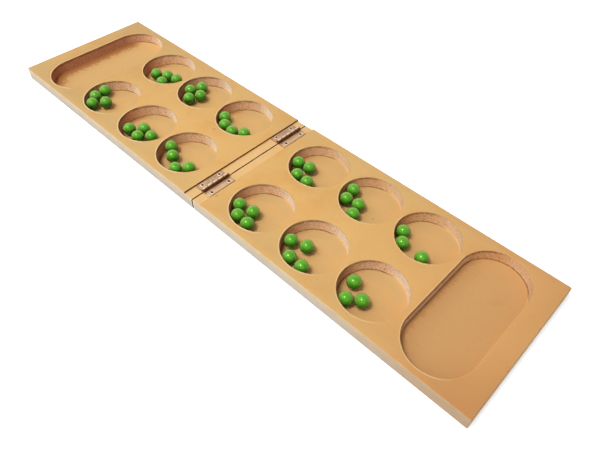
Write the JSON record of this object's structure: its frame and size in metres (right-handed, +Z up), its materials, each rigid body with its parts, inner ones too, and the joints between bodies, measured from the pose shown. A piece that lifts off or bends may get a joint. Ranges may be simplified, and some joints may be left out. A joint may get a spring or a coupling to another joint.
{
  "type": "mancala board",
  "caption": "Folding wooden mancala board lying open: routed halves with round pits and long end stores, joined by butt hinges, with loose round seeds in the pits.",
  "frame": {"origin": "under the middle of the seam, on the surface that the open board lies on", "axes": "+X along the right half towards its store, +Y towards the far long side, +Z up"},
  "size_m": [0.491, 0.126, 0.0137],
  "materials": {
    "fibreboard": "satin",
    "hinge_metal": "satin",
    "screw_metal": "satin",
    "seed_green": "gloss"
  },
  "bodies": {
    "right_half": {"right_board": "fibreboard", "near_right_hinge_leaf": "hinge_metal", "far_right_hinge_leaf": "hinge_metal", "near_right_leaf_screw_1": "screw_metal", "near_right_leaf_screw_2": "screw_metal", "far_right_leaf_screw_1": "screw_metal", "far_right_leaf_screw_2": "screw_metal"},
    "left_half": {"left_board": "fibreboard", "near_left_hinge_leaf": "hinge_metal", "far_left_hinge_leaf": "hinge_metal", "near_left_leaf_screw_1": "screw_metal", "near_left_leaf_screw_2": "screw_metal", "far_left_leaf_screw_1": "screw_metal", "far_left_leaf_screw_2": "screw_metal"},
    "left_far_pit_1_seed_1": {"left_far_pit_1_seed_1": "seed_green"},
    "left_far_pit_1_seed_2": {"left_far_pit_1_seed_2": "seed_green"},
    "left_far_pit_1_seed_3": {"left_far_pit_1_seed_3": "seed_green"},
    "left_far_pit_1_seed_4": {"left_far_pit_1_seed_4": "seed_green"},
    "left_far_pit_2_seed_1": {"left_far_pit_2_seed_1": "seed_green"},
    "left_far_pit_2_seed_2": {"left_far_pit_2_seed_2": "seed_green"},
    "left_far_pit_2_seed_3": {"left_far_pit_2_seed_3": "seed_green"},
    "left_far_pit_2_seed_4": {"left_far_pit_2_seed_4": "seed_green"},
    "left_far_pit_3_seed_1": {"left_far_pit_3_seed_1": "seed_green"},
    "left_far_pit_3_seed_2": {"left_far_pit_3_seed_2": "seed_green"},
    "left_far_pit_3_seed_3": {"left_far_pit_3_seed_3": "seed_green"},
    "left_far_pit_3_seed_4": {"left_far_pit_3_seed_4": "seed_green"},
    "left_near_pit_1_seed_1": {"left_near_pit_1_seed_1": "seed_green"},
    "left_near_pit_1_seed_2": {"left_near_pit_1_seed_2": "seed_green"},
    "left_near_pit_1_seed_3": {"left_near_pit_1_seed_3": "seed_green"},
    "left_near_pit_1_seed_4": {"left_near_pit_1_seed_4": "seed_green"},
    "left_near_pit_2_seed_1": {"left_near_pit_2_seed_1": "seed_green"},
    "left_near_pit_2_seed_2": {"left_near_pit_2_seed_2": "seed_green"},
    "left_near_pit_2_seed_3": {"left_near_pit_2_seed_3": "seed_green"},
    "left_near_pit_2_seed_4": {"left_near_pit_2_seed_4": "seed_green"},
    "left_near_pit_3_seed_1": {"left_near_pit_3_seed_1": "seed_green"},
    "left_near_pit_3_seed_2": {"left_near_pit_3_seed_2": "seed_green"},
    "left_near_pit_3_seed_3": {"left_near_pit_3_seed_3": "seed_green"},
    "left_near_pit_3_seed_4": {"left_near_pit_3_seed_4": "seed_green"},
    "right_far_pit_1_seed_1": {"right_far_pit_1_seed_1": "seed_green"},
    "right_far_pit_1_seed_2": {"right_far_pit_1_seed_2": "seed_green"},
    "right_far_pit_1_seed_3": {"right_far_pit_1_seed_3": "seed_green"},
    "right_far_pit_1_seed_4": {"right_far_pit_1_seed_4": "seed_green"},
    "right_far_pit_2_seed_1": {"right_far_pit_2_seed_1": "seed_green"},
    "right_far_pit_2_seed_2": {"right_far_pit_2_seed_2": "seed_green"},
    "right_far_pit_2_seed_3": {"right_far_pit_2_seed_3": "seed_green"},
    "right_far_pit_2_seed_4": {"right_far_pit_2_seed_4": "seed_green"},
    "right_far_pit_3_seed_1": {"right_far_pit_3_seed_1": "seed_green"},
    "right_far_pit_3_seed_2": {"right_far_pit_3_seed_2": "seed_green"},
    "right_far_pit_3_seed_3": {"right_far_pit_3_seed_3": "seed_green"},
    "right_near_pit_1_seed_1": {"right_near_pit_1_seed_1": "seed_green"},
    "right_near_pit_1_seed_2": {"right_near_pit_1_seed_2": "seed_green"},
    "right_near_pit_1_seed_3": {"right_near_pit_1_seed_3": "seed_green"},
    "right_near_pit_1_seed_4": {"right_near_pit_1_seed_4": "seed_green"},
    "right_near_pit_2_seed_1": {"right_near_pit_2_seed_1": "seed_green"},
    "right_near_pit_2_seed_2": {"right_near_pit_2_seed_2": "seed_green"},
    "right_near_pit_2_seed_3": {"right_near_pit_2_seed_3": "seed_green"},
    "right_near_pit_2_seed_4": {"right_near_pit_2_seed_4": "seed_green"},
    "right_near_pit_3_seed_1": {"right_near_pit_3_seed_1": "seed_green"},
    "right_near_pit_3_seed_2": {"right_near_pit_3_seed_2": "seed_green"},
    "right_near_pit_3_seed_3": {"right_near_pit_3_seed_3": "seed_green"}
  },
  "joints": [
    {"name": "board_fold", "type": "hinge", "parent": "right_half", "child": "left_half", "pos_m": [0, 0, 0.012], "axis": [0, 1, 0], "range_deg": [0, 180]},
    {"name": "lift_left_far_pit_1_seed_1", "type": "slide", "parent": "left_half", "child": "left_far_pit_1_seed_1", "axis": [0, 0, -1], "range_m": [-0.03, 0]},
    {"name": "lift_left_far_pit_1_seed_2", "type": "slide", "parent": "left_half", "child": "left_far_pit_1_seed_2", "axis": [0, 0, -1], "range_m": [-0.03, 0]},
    {"name": "lift_left_far_pit_1_seed_3", "type": "slide", "parent": "left_half", "child": "left_far_pit_1_seed_3", "axis": [0, 0, -1], "range_m": [-0.03, 0]},
    {"name": "lift_left_far_pit_1_seed_4", "type": "slide", "parent": "left_half", "child": "left_far_pit_1_seed_4", "axis": [0, 0, -1], "range_m": [-0.03, 0]},
    {"name": "lift_left_far_pit_2_seed_1", "type": "slide", "parent": "left_half", "child": "left_far_pit_2_seed_1", "axis": [0, 0, -1], "range_m": [-0.03, 0]},
    {"name": "lift_left_far_pit_2_seed_2", "type": "slide", "parent": "left_half", "child": "left_far_pit_2_seed_2", "axis": [0, 0, -1], "range_m": [-0.03, 0]},
    {"name": "lift_left_far_pit_2_seed_3", "type": "slide", "parent": "left_half", "child": "left_far_pit_2_seed_3", "axis": [0, 0, -1], "range_m": [-0.03, 0]},
    {"name": "lift_left_far_pit_2_seed_4", "type": "slide", "parent": "left_half", "child": "left_far_pit_2_seed_4", "axis": [0, 0, -1], "range_m": [-0.03, 0]},
    {"name": "lift_left_far_pit_3_seed_1", "type": "slide", "parent": "left_half", "child": "left_far_pit_3_seed_1", "axis": [0, 0, -1], "range_m": [-0.03, 0]},
    {"name": "lift_left_far_pit_3_seed_2", "type": "slide", "parent": "left_half", "child": "left_far_pit_3_seed_2", "axis": [0, 0, -1], "range_m": [-0.03, 0]},
    {"name": "lift_left_far_pit_3_seed_3", "type": "slide", "parent": "left_half", "child": "left_far_pit_3_seed_3", "axis": [0, 0, -1], "range_m": [-0.03, 0]},
    {"name": "lift_left_far_pit_3_seed_4", "type": "slide", "parent": "left_half", "child": "left_far_pit_3_seed_4", "axis": [0, 0, -1], "range_m": [-0.03, 0]},
    {"name": "lift_left_near_pit_1_seed_1", "type": "slide", "parent": "left_half", "child": "left_near_pit_1_seed_1", "axis": [0, 0, -1], "range_m": [-0.03, 0]},
    {"name": "lift_left_near_pit_1_seed_2", "type": "slide", "parent": "left_half", "child": "left_near_pit_1_seed_2", "axis": [0, 0, -1], "range_m": [-0.03, 0]},
    {"name": "lift_left_near_pit_1_seed_3", "type": "slide", "parent": "left_half", "child": "left_near_pit_1_seed_3", "axis": [0, 0, -1], "range_m": [-0.03, 0]},
    {"name": "lift_left_near_pit_1_seed_4", "type": "slide", "parent": "left_half", "child": "left_near_pit_1_seed_4", "axis": [0, 0, -1], "range_m": [-0.03, 0]},
    {"name": "lift_left_near_pit_2_seed_1", "type": "slide", "parent": "left_half", "child": "left_near_pit_2_seed_1", "axis": [0, 0, -1], "range_m": [-0.03, 0]},
    {"name": "lift_left_near_pit_2_seed_2", "type": "slide", "parent": "left_half", "child": "left_near_pit_2_seed_2", "axis": [0, 0, -1], "range_m": [-0.03, 0]},
    {"name": "lift_left_near_pit_2_seed_3", "type": "slide", "parent": "left_half", "child": "left_near_pit_2_seed_3", "axis": [0, 0, -1], "range_m": [-0.03, 0]},
    {"name": "lift_left_near_pit_2_seed_4", "type": "slide", "parent": "left_half", "child": "left_near_pit_2_seed_4", "axis": [0, 0, -1], "range_m": [-0.03, 0]},
    {"name": "lift_left_near_pit_3_seed_1", "type": "slide", "parent": "left_half", "child": "left_near_pit_3_seed_1", "axis": [0, 0, -1], "range_m": [-0.03, 0]},
    {"name": "lift_left_near_pit_3_seed_2", "type": "slide", "parent": "left_half", "child": "left_near_pit_3_seed_2", "axis": [0, 0, -1], "range_m": [-0.03, 0]},
    {"name": "lift_left_near_pit_3_seed_3", "type": "slide", "parent": "left_half", "child": "left_near_pit_3_seed_3", "axis": [0, 0, -1], "range_m": [-0.03, 0]},
    {"name": "lift_left_near_pit_3_seed_4", "type": "slide", "parent": "left_half", "child": "left_near_pit_3_seed_4", "axis": [0, 0, -1], "range_m": [-0.03, 0]},
    {"name": "lift_right_far_pit_1_seed_1", "type": "slide", "parent": "right_half", "child": "right_far_pit_1_seed_1", "axis": [0, 0, -1], "range_m": [-0.03, 0]},
    {"name": "lift_right_far_pit_1_seed_2", "type": "slide", "parent": "right_half", "child": "right_far_pit_1_seed_2", "axis": [0, 0, -1], "range_m": [-0.03, 0]},
    {"name": "lift_right_far_pit_1_seed_3", "type": "slide", "parent": "right_half", "child": "right_far_pit_1_seed_3", "axis": [0, 0, -1], "range_m": [-0.03, 0]},
    {"name": "lift_right_far_pit_1_seed_4", "type": "slide", "parent": "right_half", "child": "right_far_pit_1_seed_4", "axis": [0, 0, -1], "range_m": [-0.03, 0]},
    {"name": "lift_right_far_pit_2_seed_1", "type": "slide", "parent": "right_half", "child": "right_far_pit_2_seed_1", "axis": [0, 0, -1], "range_m": [-0.03, 0]},
    {"name": "lift_right_far_pit_2_seed_2", "type": "slide", "parent": "right_half", "child": "right_far_pit_2_seed_2", "axis": [0, 0, -1], "range_m": [-0.03, 0]},
    {"name": "lift_right_far_pit_2_seed_3", "type": "slide", "parent": "right_half", "child": "right_far_pit_2_seed_3", "axis": [0, 0, -1], "range_m": [-0.03, 0]},
    {"name": "lift_right_far_pit_2_seed_4", "type": "slide", "parent": "right_half", "child": "right_far_pit_2_seed_4", "axis": [0, 0, -1], "range_m": [-0.03, 0]},
    {"name": "lift_right_far_pit_3_seed_1", "type": "slide", "parent": "right_half", "child": "right_far_pit_3_seed_1", "axis": [0, 0, -1], "range_m": [-0.03, 0]},
    {"name": "lift_right_far_pit_3_seed_2", "type": "slide", "parent": "right_half", "child": "right_far_pit_3_seed_2", "axis": [0, 0, -1], "range_m": [-0.03, 0]},
    {"name": "lift_right_far_pit_3_seed_3", "type": "slide", "parent": "right_half", "child": "right_far_pit_3_seed_3", "axis": [0, 0, -1], "range_m": [-0.03, 0]},
    {"name": "lift_right_near_pit_1_seed_1", "type": "slide", "parent": "right_half", "child": "right_near_pit_1_seed_1", "axis": [0, 0, -1], "range_m": [-0.03, 0]},
    {"name": "lift_right_near_pit_1_seed_2", "type": "slide", "parent": "right_half", "child": "right_near_pit_1_seed_2", "axis": [0, 0, -1], "range_m": [-0.03, 0]},
    {"name": "lift_right_near_pit_1_seed_3", "type": "slide", "parent": "right_half", "child": "right_near_pit_1_seed_3", "axis": [0, 0, -1], "range_m": [-0.03, 0]},
    {"name": "lift_right_near_pit_1_seed_4", "type": "slide", "parent": "right_half", "child": "right_near_pit_1_seed_4", "axis": [0, 0, -1], "range_m": [-0.03, 0]},
    {"name": "lift_right_near_pit_2_seed_1", "type": "slide", "parent": "right_half", "child": "right_near_pit_2_seed_1", "axis": [0, 0, -1], "range_m": [-0.03, 0]},
    {"name": "lift_right_near_pit_2_seed_2", "type": "slide", "parent": "right_half", "child": "right_near_pit_2_seed_2", "axis": [0, 0, -1], "range_m": [-0.03, 0]},
    {"name": "lift_right_near_pit_2_seed_3", "type": "slide", "parent": "right_half", "child": "right_near_pit_2_seed_3", "axis": [0, 0, -1], "range_m": [-0.03, 0]},
    {"name": "lift_right_near_pit_2_seed_4", "type": "slide", "parent": "right_half", "child": "right_near_pit_2_seed_4", "axis": [0, 0, -1], "range_m": [-0.03, 0]},
    {"name": "lift_right_near_pit_3_seed_1", "type": "slide", "parent": "right_half", "child": "right_near_pit_3_seed_1", "axis": [0, 0, -1], "range_m": [-0.03, 0]},
    {"name": "lift_right_near_pit_3_seed_2", "type": "slide", "parent": "right_half", "child": "right_near_pit_3_seed_2", "axis": [0, 0, -1], "range_m": [-0.03, 0]},
    {"name": "lift_right_near_pit_3_seed_3", "type": "slide", "parent": "right_half", "child": "right_near_pit_3_seed_3", "axis": [0, 0, -1], "range_m": [-0.03, 0]}
  ]
}
